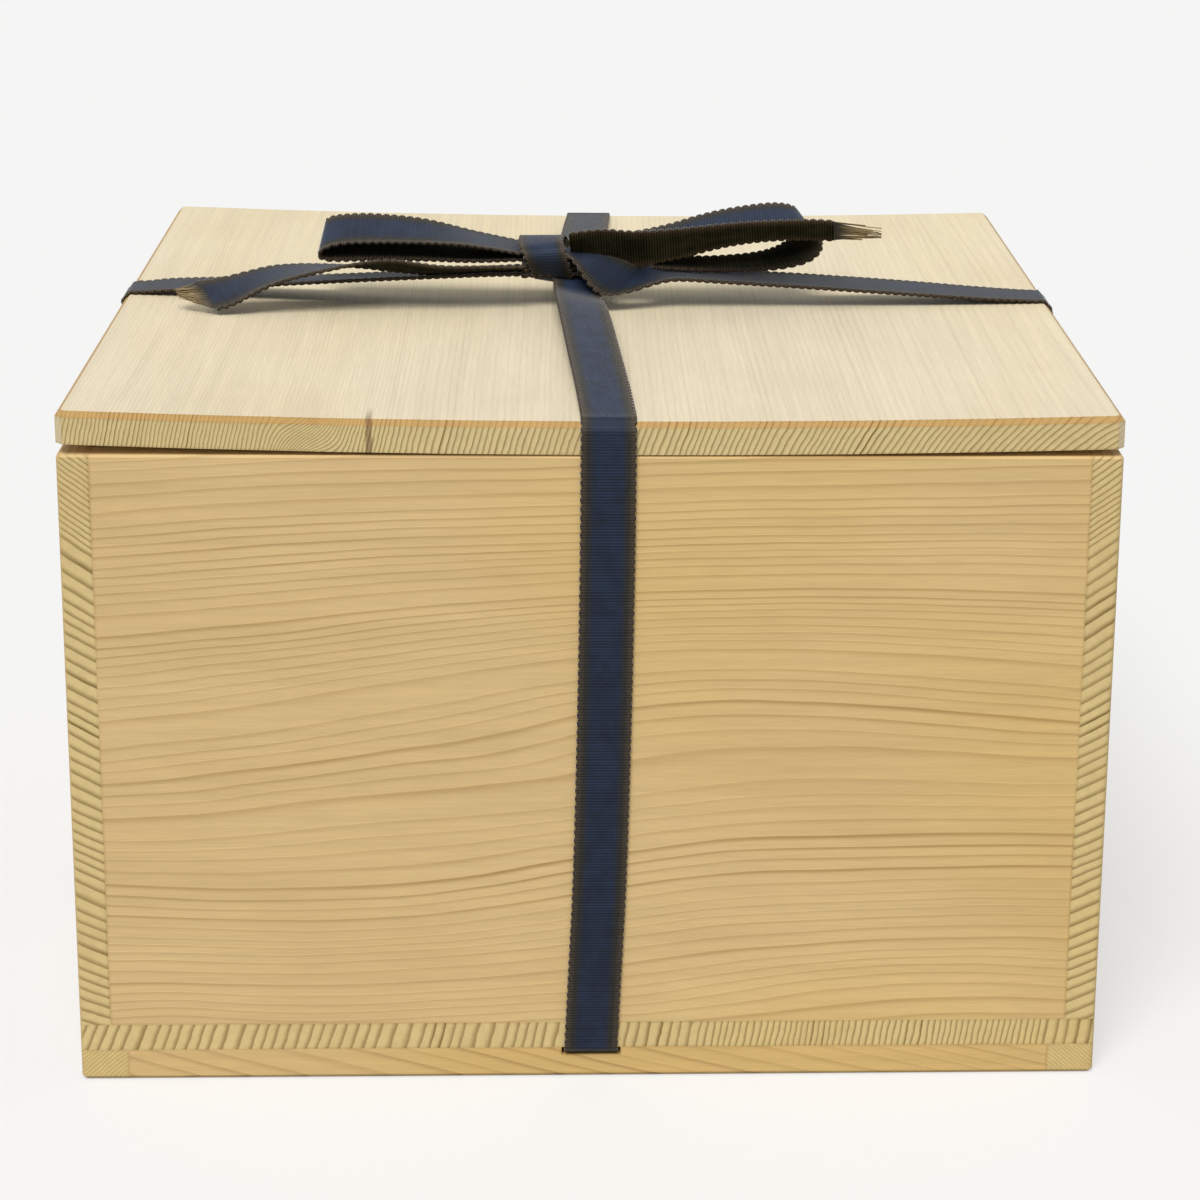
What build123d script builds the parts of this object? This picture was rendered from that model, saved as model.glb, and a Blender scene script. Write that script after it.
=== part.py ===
"""A square wooden keeping box with a loose cupped lid, foot battens, and a ribbon tied crosswise
in a bow. Millimetres. The origin is on the ground under the middle of the box, +X is to the
right, +Y is to the back and +Z is up."""
from build123d import *
import math
import os

# Box
box_width = 280.0
box_depth = 280.0
wall_thick = 8.5
wall_height = 162.0
bottom_thick = 7.5
corner_round = 1.6
rim_ease = 0.6

# Feet
foot_height = 9.0
foot_width = 13.0
foot_ease = 1.2
slot_width = 16.3
slot_height = 2.3

# Lid
lid_thick = 8.7
lid_bevel = 1.5
lid_corner_cut = 1.9
lid_cup_radius = 4300.0
lid_low_x = 12.0
lid_gap = 0.3
lid_batten_width = 12.0
lid_batten_depth = 7.0
lid_batten_clearance = 1.0

# Pegs
peg_radius = 1.2
peg_clearance = 0.05
peg_recess = 0.3
peg_end_space = 24.0
corner_peg_length = 24.0
corner_peg_count = 4
foot_peg_bite = 11.0
foot_peg_count = 4
lid_peg_bite = 5.0
lid_peg_count = 3

# Ribbon
ribbon_width = 15.0
ribbon_thick = 0.8
ribbon_gap = 0.3
ribbon_turn_radius = 1.0
drop_start = 3.0
drop_overlap = 3.0
edge_run = 4.0

# How far each stretch is from the middle of the box where it crosses the lid's edge, and then
# where it meets the knot
front_shift, front_knot_shift = 3.8, -3.1
back_shift, back_knot_shift = 1.0, -3.4
left_shift, left_knot_shift = 6.0, 1.0
right_shift, right_knot_shift = 2.0, 0.0

# Knot, with heights above the middle of the lid's top
knot_left = -20.5
knot_front_space = 0.5
knot_back_space = 2.5
knot_bottom = 8.5
knot_top = 20.0
strand_lift = 10.4
wrap_thick = 1.2
wrap_radius = 4.5
shoulder_width = 12.5
shoulder_top = 15.5
fold_top = 19.0
fold_tip = 10.5
fold_foot = 4.0
fold_reach = 14.0
fold_thick = 1.0

# Bow: where each band starts, as its distance back and its height above the middle of the lid's
# top, then how far it leans back, how far it heads to the front, and its route as distance out
# and rise
band_bite = 0.3
loop_left_start = (3.0, 19.5)
loop_left_tilt = 22.0
loop_left_route = [
    (0, -2.2), (16, 0.5), (33, 3.2), (46, 4.3), (53.5, 3.7), (58.6, 2.3), (61, 0.2),
    (60.2, -1.7), (57, -2.9), (51, -3.3), (41, -3.4), (26, -4.2), (12, -4.7), (0, -4.3),
]
loop_right_start = (5.0, 19.5)
loop_right_tilt = 16.0
loop_right_route = [
    (0, -2.6), (14, 1.5), (30, 5.5), (45, 8.3), (54.5, 8.5), (60.5, 6.2), (62.5, 2.0),
    (60.4, -1.8), (55.5, -3.6), (47, -4.7), (34, -6.4), (20, -7.3), (9, -7.1), (0, -6.4),
]
tail_left_start = (-4.0, 11.6)
tail_left_tilt = 0.0
tail_left_heading = 9.3
tail_left_route = [
    (0, 0), (12, -0.4), (25, -0.7), (36, -0.2), (47, 0.4), (58, 0.6), (69, 0.4), (81, -1.8),
    (93, -5.4), (103, -6.4),
]
tail_right_start = (-7.7, 19.9)
tail_right_tilt = -34.0
tail_right_heading = 6.0
tail_right_route = [(0, 0), (15, 0.7), (31, 2.2), (48, 4.2), (64, 5.2), (79, 5.0), (93, 4.0)]

# Modelling
bend_share = 0.45
place_tolerance = 0.01

half_width = box_width / 2
half_depth = box_depth / 2
floor_z = foot_height
wall_z = floor_z + bottom_thick
rim_z = wall_z + wall_height
inner_x = half_width - wall_thick
inner_y = half_depth - wall_thick
lid_low_z = rim_z + lid_gap
cup_centre_z = lid_low_z + lid_cup_radius
knot_z = lid_low_z + lid_thick
batten_x = inner_x - lid_batten_clearance
batten_y = inner_y - lid_batten_clearance
wrap_right = knot_left + ribbon_width
knot_right = wrap_right + shoulder_width
knot_front = -(ribbon_width / 2 + knot_front_space)
knot_back = ribbon_width / 2 + knot_back_space
ribbon_offset = ribbon_gap + ribbon_thick / 2
ribbon_start_z = floor_z + drop_start
up = Vector(0, 0, 1)
to_right = Vector(1, 0, 0)
to_back = Vector(0, 1, 0)


def block(low, high):
    """A box between two opposite corners."""
    size = [b - a for a, b in zip(low, high)]
    return Pos(*low) * Box(*size, align=(Align.MIN, Align.MIN, Align.MIN))


def rod(start, end, radius):
    """A round rod from one point to another."""
    line = Vector(*end) - Vector(*start)
    plane = Plane(origin=start, z_dir=line.normalized())
    return plane * Cylinder(radius, line.length, align=(Align.CENTER, Align.CENTER, Align.MIN))


def spaced(length, count):
    """Places along a length about its middle, with the same space kept at both ends."""
    first = peg_end_space - length / 2
    step = (length - 2 * peg_end_space) / (count - 1)
    return [first + step * i for i in range(count)]


def edges_at(part, x=None, y=None, z=None):
    """The part's edges that lie wholly at the given places."""
    wanted = [(i, v) for i, v in enumerate((x, y, z)) if v is not None]
    return [
        edge
        for edge in part.edges()
        if all(
            abs(tuple(edge.position_at(part_way))[i] - v) < place_tolerance
            for i, v in wanted
            for part_way in (0, 0.5, 1)
        )
    ]


def cup_z(x, height):
    """The height of the lid's curve at x, for a surface so far above its underside."""
    radius = lid_cup_radius - height
    return cup_centre_z - math.sqrt(radius**2 - (x - lid_low_x) ** 2)


def lid_layer(low, high):
    """A layer of the cupped lid between two heights above its underside, as deep as the box."""
    left, right = -half_width, half_width
    edges = [
        ThreePointArc(*[(x, cup_z(x, low)) for x in (left, 0, right)]),
        Line((right, cup_z(right, low)), (right, cup_z(right, high))),
        ThreePointArc(*[(x, cup_z(x, high)) for x in (right, 0, left)]),
        Line((left, cup_z(left, high)), (left, cup_z(left, low))),
    ]
    return extrude(Plane.XZ * make_face(edges), amount=half_depth, both=True)


def corner_pegs(side):
    """Pegs from a side board's outer face into the ends of the front and back boards."""
    heights = [wall_z + wall_height / 2 + z for z in spaced(wall_height, corner_peg_count)]
    middle_y = half_depth - wall_thick / 2
    outer, inner = side * half_width, side * (half_width - corner_peg_length)
    return [((outer, y, z), (inner, y, z)) for y in (-middle_y, middle_y) for z in heights]


def foot_pegs():
    """Pegs up through the feet and the bottom board into the walls."""
    wall_x = half_width - wall_thick / 2
    wall_y = half_depth - wall_thick / 2
    places = [(x, y) for y in (-wall_y, wall_y) for x in spaced(2 * inner_x, foot_peg_count)]
    places += [(x, y) for x in (-wall_x, wall_x) for y in spaced(2 * inner_y, foot_peg_count)]
    return [((x, y, peg_recess), (x, y, wall_z + foot_peg_bite)) for x, y in places]


def lid_pegs():
    """Pegs up through the lid battens into the lid."""
    row_x = batten_x - lid_batten_width / 2
    row_y = batten_y - lid_batten_width / 2
    places = [(x, y) for y in (-row_y, row_y) for x in spaced(2 * batten_x, lid_peg_count)]
    places += [(x, y) for x in (-row_x, row_x) for y in spaced(2 * row_y, lid_peg_count)]
    return [
        ((x, y, cup_z(x, -lid_batten_depth) + peg_recess), (x, y, cup_z(x, lid_peg_bite)))
        for x, y in places
    ]


def drilled(part, pegs):
    """The part with a hole for each peg, run out past the face that the peg goes in by."""
    for start, end in pegs:
        back = (Vector(*start) - Vector(*end)).normalized() * peg_radius
        part -= rod(Vector(*start) + back, end, peg_radius + peg_clearance)
    return part


def peg_group(pegs):
    """The pegs as one group of separate rods."""
    return Compound(children=[rod(start, end, peg_radius) for start, end in pegs])


def side_board(side):
    """A side board, as long as the box is deep, whose end grain shows at the corners."""
    outer = side * half_width
    x = sorted((outer, side * inner_x))
    board = block((x[0], -half_depth, wall_z), (x[1], half_depth, rim_z))
    corners = edges_at(board, x=outer, y=-half_depth) + edges_at(board, x=outer, y=half_depth)
    board = fillet(corners, corner_round)
    board = chamfer(edges_at(board, x=outer, z=rim_z), rim_ease)
    return drilled(board, corner_pegs(side) + foot_pegs())


def end_board(side):
    """The front or back board, held between the side boards."""
    outer = side * half_depth
    y = sorted((outer, side * inner_y))
    board = block((-inner_x, y[0], wall_z), (inner_x, y[1], rim_z))
    board = chamfer(edges_at(board, y=outer, z=rim_z), rim_ease)
    return drilled(board, corner_pegs(-1) + corner_pegs(1) + foot_pegs())


def bottom_board():
    """The bottom board, as wide and as deep as the box, under the walls."""
    board = block((-half_width, -half_depth, floor_z), (half_width, half_depth, wall_z))
    board = fillet(board.edges().filter_by(Axis.Z), corner_round)
    return drilled(board, foot_pegs())


def side_foot(side):
    """A side foot batten, as long as the box is deep, with a slot in its top for the ribbon."""
    outer = side * half_width
    x = sorted((outer, side * (half_width - foot_width)))
    foot = block((x[0], -half_depth, 0), (x[1], half_depth, floor_z))
    corners = edges_at(foot, x=outer, y=-half_depth) + edges_at(foot, x=outer, y=half_depth)
    foot = fillet(corners, corner_round)
    foot = chamfer(edges_at(foot, x=outer, z=0), foot_ease)
    half_slot = slot_width / 2
    foot -= block((x[0], -half_slot, floor_z - slot_height), (x[1], half_slot, floor_z))
    return drilled(foot, foot_pegs())


def end_foot(side):
    """The front or back foot batten, between the side ones, with its slot."""
    outer = side * half_depth
    y = sorted((outer, side * (half_depth - foot_width)))
    inner = half_width - foot_width
    foot = block((-inner, y[0], 0), (inner, y[1], floor_z))
    foot = chamfer(edges_at(foot, y=outer, z=0), foot_ease)
    half_slot = slot_width / 2
    foot -= block((-half_slot, y[0], floor_z - slot_height), (half_slot, y[1], floor_z))
    return drilled(foot, foot_pegs())


def lid_board():
    """The lid: one cupped board with cut corners and a bevel round its top."""
    board = lid_layer(0, lid_thick)
    board = chamfer(board.edges().filter_by(Axis.Z), lid_corner_cut)
    top = board.faces().sort_by(Axis.Z)[-1]
    board = chamfer(top.outer_wire().edges(), lid_bevel)
    return drilled(board, lid_pegs())


def lid_batten(low, high):
    """A batten under the lid, between two corners, whose top follows the lid's cup."""
    zone = block((*low, 0), (*high, rim_z + lid_thick))
    return drilled(lid_layer(-lid_batten_depth, 0) & zone, lid_pegs())


def bend_radii(points):
    """For each corner of a route, the largest arc that its two runs leave room for."""
    radii = []
    for a, b, c in zip(points, points[1:], points[2:]):
        before, after = Vector(*b) - Vector(*a), Vector(*c) - Vector(*b)
        turn = math.radians(before.get_angle(after))
        radii.append(bend_share * min(before.length, after.length) / math.tan(turn / 2))
    return radii


def band(points, plane, radii, width=ribbon_width, thick=ribbon_thick):
    """A flat band that follows a route in a plane and stands square on that plane."""
    rail = plane * FilletPolyline(*points, radius=radii)
    start = Plane(origin=rail @ 0, x_dir=plane.z_dir, z_dir=rail % 0)
    return sweep(start * Rectangle(width, thick), path=rail)


def upright(outward):
    """An upright plane through the middle of the box, with its x outward and its y up."""
    return Plane(origin=(0, 0, 0), x_dir=outward, z_dir=outward.cross(up))


def under_run(outward, reach, height):
    """The ribbon's run under the bottom board, turned up at both ends outside the box."""
    points = [(-reach, ribbon_start_z), (-reach, height), (reach, height), (reach, ribbon_start_z)]
    return band(points, upright(outward), [ribbon_turn_radius, ribbon_turn_radius])


def drop(outward, along, reach, shift, edge_x):
    """An upright stretch outside a wall, from the foot to the lid's edge, leaning to its shift."""
    half, top = ribbon_width / 2, cup_z(edge_x, drop_overlap)
    corners = [
        (-half, ribbon_start_z),
        (half, ribbon_start_z),
        (shift + half, top),
        (shift - half, top),
    ]
    inner = Plane(origin=outward * (reach - ribbon_thick / 2), x_dir=along, z_dir=along.cross(up))
    return extrude(inner * make_face(Polyline(*corners, close=True)), amount=ribbon_thick, dir=outward)


def lid_strand(outward, along, reach, shift, edge_x, knot_side, knot_shift):
    """A stretch that turns over the lid's edge and runs up to the knot."""
    lid_top = cup_z(edge_x, lid_thick)
    ease = ribbon_offset * (math.sqrt(2) - 1)
    high = lid_top + ribbon_offset
    bevel_out = reach - lid_bevel - ease
    points = [
        (reach, cup_z(edge_x, drop_overlap)),
        (reach, lid_top - lid_bevel + ease),
        (bevel_out, high),
        (bevel_out - edge_run, high),
    ]
    plane = Plane(origin=along * shift, x_dir=outward, z_dir=outward.cross(up))
    over = band(points, plane, [ribbon_turn_radius, ribbon_turn_radius])
    ends = [
        Plane(origin=outward * out + along * side + up * z, x_dir=along, z_dir=outward)
        * Rectangle(ribbon_width, ribbon_thick)
        for out, side, z in (
            (knot_side, knot_shift, knot_z + strand_lift),
            (bevel_out - edge_run, shift, high),
        )
    ]
    return over + loft(ends, ruled=True)


def knot_wrap():
    """The band over the knot, from its front to its back."""
    out = wrap_thick / 2
    foot = knot_z + knot_bottom + wrap_radius
    top = knot_z + knot_top - out
    points = [
        (knot_front - out, foot),
        (knot_front - out, top),
        (knot_back + out, top),
        (knot_back + out, foot),
    ]
    plane = Plane(origin=(knot_left + ribbon_width / 2, 0, 0), x_dir=to_back, z_dir=to_right)
    return band(points, plane, [wrap_radius, wrap_radius], thick=wrap_thick)


def knot_lump(left, right, height):
    """A lump of the knot between two places along it, rounded where its top meets its sides."""
    top = knot_z + height
    lump = block((left, knot_front, knot_z + knot_bottom), (right, knot_back, top))
    edges = edges_at(lump, y=knot_front, z=top) + edges_at(lump, y=knot_back, z=top)
    return fillet(edges, wrap_radius - wrap_thick / 2)


def knot_core():
    """The lump inside the knot, where the stretches cross, with a shoulder to the right."""
    shoulder = knot_lump(wrap_right, knot_right, shoulder_top)
    return knot_lump(knot_left, wrap_right, knot_top - wrap_thick) + shoulder


def knot_fold():
    """The slanting fold in front of the knot, where the ribbon turns to the right stretch."""
    strand_top = strand_lift + ribbon_thick
    strand_edge = front_knot_shift + ribbon_width / 2 + ribbon_gap
    corners = [
        (wrap_right, knot_z + fold_top),
        (strand_edge, knot_z + strand_top),
        (strand_edge, knot_z + fold_foot),
        (knot_right + fold_reach, knot_z + fold_tip),
    ]
    front = Plane(origin=(0, knot_front, 0), x_dir=to_right, z_dir=-to_back)
    return extrude(front * make_face(Polyline(*corners, close=True)), amount=fold_thick)


def bow_band(name, side, root_x, start, route, tilt, heading=0.0):
    """A loop or a tail of the bow, in a plane that leans back by the tilt and turns to the front
    by the heading."""
    lean, turn = math.radians(tilt), math.radians(heading)
    back = Vector(side * math.sin(turn), math.cos(turn), 0)
    across = back * math.cos(lean) + up * math.sin(lean)
    outward = Vector(side * math.cos(turn), -math.sin(turn), 0)
    start_y, rise = start
    origin = (root_x - side * band_bite, start_y, knot_z + rise)
    plane = Plane(origin=origin, x_dir=outward, z_dir=across * -side)
    radii = bend_radii(route)
    solid = band(route, plane, radii)
    length = FilletPolyline(*route, radius=radii).length
    share = solid.volume / (length * ribbon_width * ribbon_thick)
    bends = ", ".join(f"{radius:.1f}" for radius in radii)
    print(f"{name}: {length:.1f} mm long, volume {share:.4f} of section times length, bends {bends} mm")
    return solid


batten_inner_x = batten_x - lid_batten_width
batten_inner_y = batten_y - lid_batten_width
run_z = floor_z - ribbon_offset
cross_run_z = run_z - ribbon_thick - ribbon_gap / 2
reach_x = half_width + ribbon_offset
reach_y = half_depth + ribbon_offset

nodes = {
    "left_board": side_board(-1),
    "right_board": side_board(1),
    "front_board": end_board(-1),
    "back_board": end_board(1),
    "bottom_board": bottom_board(),
    "foot_left": side_foot(-1),
    "foot_right": side_foot(1),
    "foot_front": end_foot(-1),
    "foot_back": end_foot(1),
    "lid_board": lid_board(),
    "lid_batten_front": lid_batten((-batten_x, -batten_y), (batten_x, -batten_inner_y)),
    "lid_batten_back": lid_batten((-batten_x, batten_inner_y), (batten_x, batten_y)),
    "lid_batten_left": lid_batten((-batten_x, -batten_inner_y), (-batten_inner_x, batten_inner_y)),
    "lid_batten_right": lid_batten((batten_inner_x, -batten_inner_y), (batten_x, batten_inner_y)),
    "corner_pegs_left": peg_group(corner_pegs(-1)),
    "corner_pegs_right": peg_group(corner_pegs(1)),
    "foot_pegs": peg_group(foot_pegs()),
    "lid_pegs": peg_group(lid_pegs()),
    "ribbon_under_front_back": under_run(to_back, reach_y, run_z),
    "ribbon_under_left_right": under_run(to_right, reach_x, cross_run_z),
    "ribbon_front": drop(-to_back, to_right, reach_y, front_shift, front_shift),
    "ribbon_back": drop(to_back, to_right, reach_y, back_shift, back_shift),
    "ribbon_left": drop(-to_right, to_back, reach_x, left_shift, -half_width),
    "ribbon_right": drop(to_right, to_back, reach_x, right_shift, half_width),
    "ribbon_lid_front": lid_strand(
        -to_back, to_right, reach_y, front_shift, front_shift, -knot_front, front_knot_shift
    ),
    "ribbon_lid_back": lid_strand(
        to_back, to_right, reach_y, back_shift, back_shift, knot_back, back_knot_shift
    ),
    "ribbon_lid_left": lid_strand(
        -to_right, to_back, reach_x, left_shift, -half_width, -knot_left, left_knot_shift
    ),
    "ribbon_lid_right": lid_strand(
        to_right, to_back, reach_x, right_shift, half_width, knot_right, right_knot_shift
    ),
    "knot_wrap": knot_wrap(),
    "knot_core": knot_core(),
    "knot_fold": knot_fold(),
    "bow_loop_left": bow_band(
        "left loop", -1, knot_left, loop_left_start, loop_left_route, loop_left_tilt
    ),
    "bow_loop_right": bow_band(
        "right loop", 1, knot_right, loop_right_start, loop_right_route, loop_right_tilt
    ),
    "bow_tail_left": bow_band(
        "left tail", -1, knot_left, tail_left_start, tail_left_route, tail_left_tilt, tail_left_heading
    ),
    "bow_tail_right": bow_band(
        "right tail", 1, wrap_right, tail_right_start, tail_right_route, tail_right_tilt, tail_right_heading
    ),
}

os.makedirs("parts", exist_ok=True)
for name, shape in nodes.items():
    export_step(shape, f"parts/{name}.step")
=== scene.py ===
"""The looks of a wooden keeping box with a cupped lid, tied crosswise with a ribbed ribbon in a
bow. Metres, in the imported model's frame."""
import math
import random

import bpy
from mathutils import Matrix, Vector

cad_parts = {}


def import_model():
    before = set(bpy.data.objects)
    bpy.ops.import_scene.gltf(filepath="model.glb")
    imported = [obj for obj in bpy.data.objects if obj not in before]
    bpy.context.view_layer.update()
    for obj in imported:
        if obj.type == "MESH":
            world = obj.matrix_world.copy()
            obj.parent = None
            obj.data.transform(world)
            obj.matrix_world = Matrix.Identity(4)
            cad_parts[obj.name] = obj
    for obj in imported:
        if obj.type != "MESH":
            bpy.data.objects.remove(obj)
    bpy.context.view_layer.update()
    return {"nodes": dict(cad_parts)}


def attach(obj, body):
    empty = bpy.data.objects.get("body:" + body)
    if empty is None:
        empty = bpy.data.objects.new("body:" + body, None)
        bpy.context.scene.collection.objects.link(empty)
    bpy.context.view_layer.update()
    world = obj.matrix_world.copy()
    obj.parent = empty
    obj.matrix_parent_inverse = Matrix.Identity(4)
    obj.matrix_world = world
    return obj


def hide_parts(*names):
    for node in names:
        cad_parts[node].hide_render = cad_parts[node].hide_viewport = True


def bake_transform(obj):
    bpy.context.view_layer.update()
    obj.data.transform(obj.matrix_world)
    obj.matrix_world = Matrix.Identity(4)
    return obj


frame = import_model()
nodes = frame["nodes"]

MM = 0.001

# Camera
camera_place = (-0.0096, -0.9250, 0.3972)
camera_yaw = 2.689
camera_pitch = 15.632
camera_roll = 0.8225
camera_lens = 93.34
camera_shift = (-0.0817, -0.1160)

# Ribbon, in millimetres
ribbon_width = 15.0
ribbon_thick = 0.8
rib_pitch = 0.8
rib_height = 0.13
scallop_pitch = 2.4
scallop_height = 0.85
scallop_fullness = 0.7
bead_height = 0.3
station_step = rib_pitch / 2
tangent_reach = 2
edge_zone = 0.9
across_places = (-1.0, -0.97, -0.9, -0.72, -0.4, 0.0, 0.4, 0.72, 0.9, 0.97, 1.0)
blue_slot, thread_slot, back_and_shade_slot = 0, 1, 2

# Frayed threads: lengths in millimetres, and places across as a share of half the width
thread_count = 34
thread_spread = 0.94
thread_scatter = 0.14
thread_rise = 0.9
thread_wave = 0.25
thread_turns = 8
thread_radii = (0.12, 0.2)
long_thread_every = 5
cloth_overlap = 3

up = Vector((0, 0, 1))
to_right = Vector((1, 0, 0))
to_back = Vector((0, 1, 0))


def point(x, y, z):
    """A place given in millimetres."""
    return Vector((x, y, z)) * MM


class Shape:
    """Collects the points and faces of one mesh, with two numbers for each point."""

    def __init__(self):
        self.points = []
        self.faces = []
        self.slots = []
        self.across = []
        self.along = []

    def ring(self, points, across, along):
        """Adds points that share a place along the piece, and returns their numbers."""
        first = len(self.points)
        self.points += points
        self.across += across
        self.along += [along] * len(points)
        return list(range(first, first + len(points)))

    def bridge(self, a, b, slot, under_slot):
        """Joins two rings of the same size with a band of quads. The second half of the ring has
        a material slot of its own."""
        count = len(a)
        for i in range(count):
            j = (i + 1) % count
            self.faces.append((a[i], a[j], b[j], b[i]))
            self.slots.append(slot if i < count // 2 else under_slot)

    def cap(self, ring, turned=False):
        """Closes a ring whose two long sides face each other with a strip of quads."""
        for i in range(len(ring) // 2 - 1):
            face = (ring[i], ring[i + 1], ring[-2 - i], ring[-1 - i])
            self.faces.append(face[::-1] if turned else face)
            self.slots.append(blue_slot)

    def tube(self, line, radius, slot, across, sides=4):
        """A thin closed tube along a line."""
        rings = []
        for i, place in enumerate(line):
            before, after = line[max(i - 1, 0)], line[min(i + 1, len(line) - 1)]
            tangent = (after - before).normalized()
            side = tangent.cross(up).normalized()
            rise = side.cross(tangent)
            angles = [2 * math.pi * k / sides for k in range(sides)]
            ring = [place + (side * math.cos(a) + rise * math.sin(a)) * radius for a in angles]
            rings.append(self.ring(ring, [across] * sides, i / (len(line) - 1)))
        for a, b in zip(rings, rings[1:]):
            self.bridge(a, b, slot, slot)
        self.faces += [tuple(rings[0][::-1]), tuple(rings[-1])]
        self.slots += [slot, slot]

    def build(self, name, materials):
        """The finished object."""
        mesh = bpy.data.meshes.new(name)
        mesh.from_pydata([tuple(p) for p in self.points], [], self.faces)
        for key, values in (("across", self.across), ("along", self.along)):
            mesh.attributes.new(key, "FLOAT", "POINT").data.foreach_set("value", values)
        for material in materials:
            mesh.materials.append(material)
        mesh.polygons.foreach_set("material_index", self.slots)
        mesh.polygons.foreach_set("use_smooth", [True] * len(self.faces))
        mesh.update()
        piece = bpy.data.objects.new(name, mesh)
        bpy.context.scene.collection.objects.link(piece)
        return piece


def smooth_line(points):
    """The points of a smooth curve that has these as its control points."""
    curve = bpy.data.curves.new("route", "CURVE")
    curve.dimensions = "3D"
    spline = curve.splines.new("NURBS")
    spline.points.add(len(points) - 1)
    for target, place in zip(spline.points, points):
        target.co = (*place, 1)
    spline.order_u = 3
    spline.use_endpoint_u = True
    spline.resolution_u = 24
    route = bpy.data.objects.new("route", curve)
    mesh = bpy.data.meshes.new_from_object(route)
    line = [v.co.copy() for v in mesh.vertices]
    bpy.data.meshes.remove(mesh)
    bpy.data.objects.remove(route)
    bpy.data.curves.remove(curve)
    return line


def stations(points, sides):
    """Even steps along a route: each one's place, direction and half width across."""
    middle = smooth_line(points)
    edge = smooth_line([p + s for p, s in zip(points, sides)])
    lengths = [0.0]
    for a, b in zip(middle, middle[1:]):
        lengths.append(lengths[-1] + (b - a).length)
    count = max(2, round(lengths[-1] / (station_step * MM)))
    steps = []
    at = 0
    for i in range(count + 1):
        want = lengths[-1] * i / count
        while at < len(lengths) - 2 and lengths[at + 1] < want:
            at += 1
        share = (want - lengths[at]) / max(lengths[at + 1] - lengths[at], 1e-9)
        share = min(max(share, 0.0), 1.0)
        place, side = (line[at].lerp(line[at + 1], share) for line in (middle, edge))
        steps.append((place, side))
    found = []
    for i, (place, side) in enumerate(steps):
        before = steps[max(i - tangent_reach, 0)][0]
        after = steps[min(i + tangent_reach, count)][0]
        tangent = (after - before).normalized()
        width = side - place
        found.append((place, tangent, width.normalized(), width.length))
    return found


def scallop(along):
    """How far the woven edge stands out there, from 0 to 1."""
    return abs(math.sin(math.pi * along / scallop_pitch)) ** scallop_fullness


def section(place, tangent, across, half_width, along, rib):
    """One ring of points round the ribbon, over its top and back under it."""
    normal = across.cross(tangent).normalized()
    over, under, places = [], [], []
    bead = scallop(along)
    for share in across_places:
        out = half_width * share
        edge = max(0.0, (abs(share) - edge_zone) / (1 - edge_zone))
        out -= math.copysign(edge * (1 - bead) * scallop_height * MM, share)
        lift = ribbon_thick / 2 + (rib * rib_height if edge == 0 else bead_height * bead)
        lift *= math.sqrt(max(0.0, 1 - edge**4)) * MM
        over.append(place + across * out + normal * lift)
        under.append(place + across * out - normal * lift)
        places.append(share)
    inner_under = under[-2:0:-1]
    inner_places = places[-2:0:-1]
    return over + inner_under, places + inner_places


def ribbon(name, points, sides, face=1, end=None, gather=0.0, bend=0.0):
    """A ribbed ribbon that follows a route, and the route's line. sides gives its half width across
    at each point, and face, 1 or -1, says which side of it is the blue one. Where end is given, the
    cloth stops that far from the route's end and threads go on."""
    shape = Shape()
    steps = stations(points, sides)
    last = len(steps) - 1
    if end:
        last -= round(end / station_step)
    rings = []
    for i, (place, tangent, across, half_width) in enumerate(steps[: last + 1]):
        along = i * station_step
        rib = 1 if i % 2 else -1
        ring, places = section(place, tangent, across * face, half_width, along, rib)
        rings.append(shape.ring(ring, places, along))
    for a, b in zip(rings, rings[1:]):
        # The back half of each ring takes the near-black back, which is painted shade on the
        # undersides.
        shape.bridge(a, b, blue_slot, back_and_shade_slot)
    shape.cap(rings[0])
    shape.cap(rings[-1], turned=True)
    if end:
        fray(shape, steps, last, end, gather, bend)
    piece = shape.build(name, [ribbon_cloth, ribbon_thread, ribbon_back_and_shade])
    return piece, [place for place, tangent, across, half_width in steps]


def fray(shape, steps, last, end, gather, bend):
    """Loose threads past the end of the cloth. gather is how far they draw together at their tips
    and bend is how far across their tips lie, from -1 to 1."""
    draw = random.Random(len(steps))
    reach_most = len(steps) - 1 - last
    for k in range(thread_count):
        share = thread_spread * (2 * k / (thread_count - 1) - 1)
        reach = round((0.5 + 0.5 * draw.random()) * end / station_step)
        if k % long_thread_every == 2:
            reach = reach_most
        tip = share * (1 - gather) + bend + draw.uniform(-thread_scatter, thread_scatter)
        rise = draw.uniform(-thread_rise, thread_rise) * MM
        line = []
        for i in range(last - cloth_overlap, min(last + reach, len(steps) - 1) + 1, 2):
            place, tangent, across, half_width = steps[i]
            part = max(0, i - last) / reach_most
            wave = thread_wave * MM * math.sin(part * thread_turns + k) * part
            normal = across.cross(tangent).normalized()
            out = half_width * (share + (tip - share) * part)
            line.append(place + across * (out + wave) + normal * rise * part)
        shape.tube(line, draw.uniform(*thread_radii) * MM, thread_slot, share)


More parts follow.
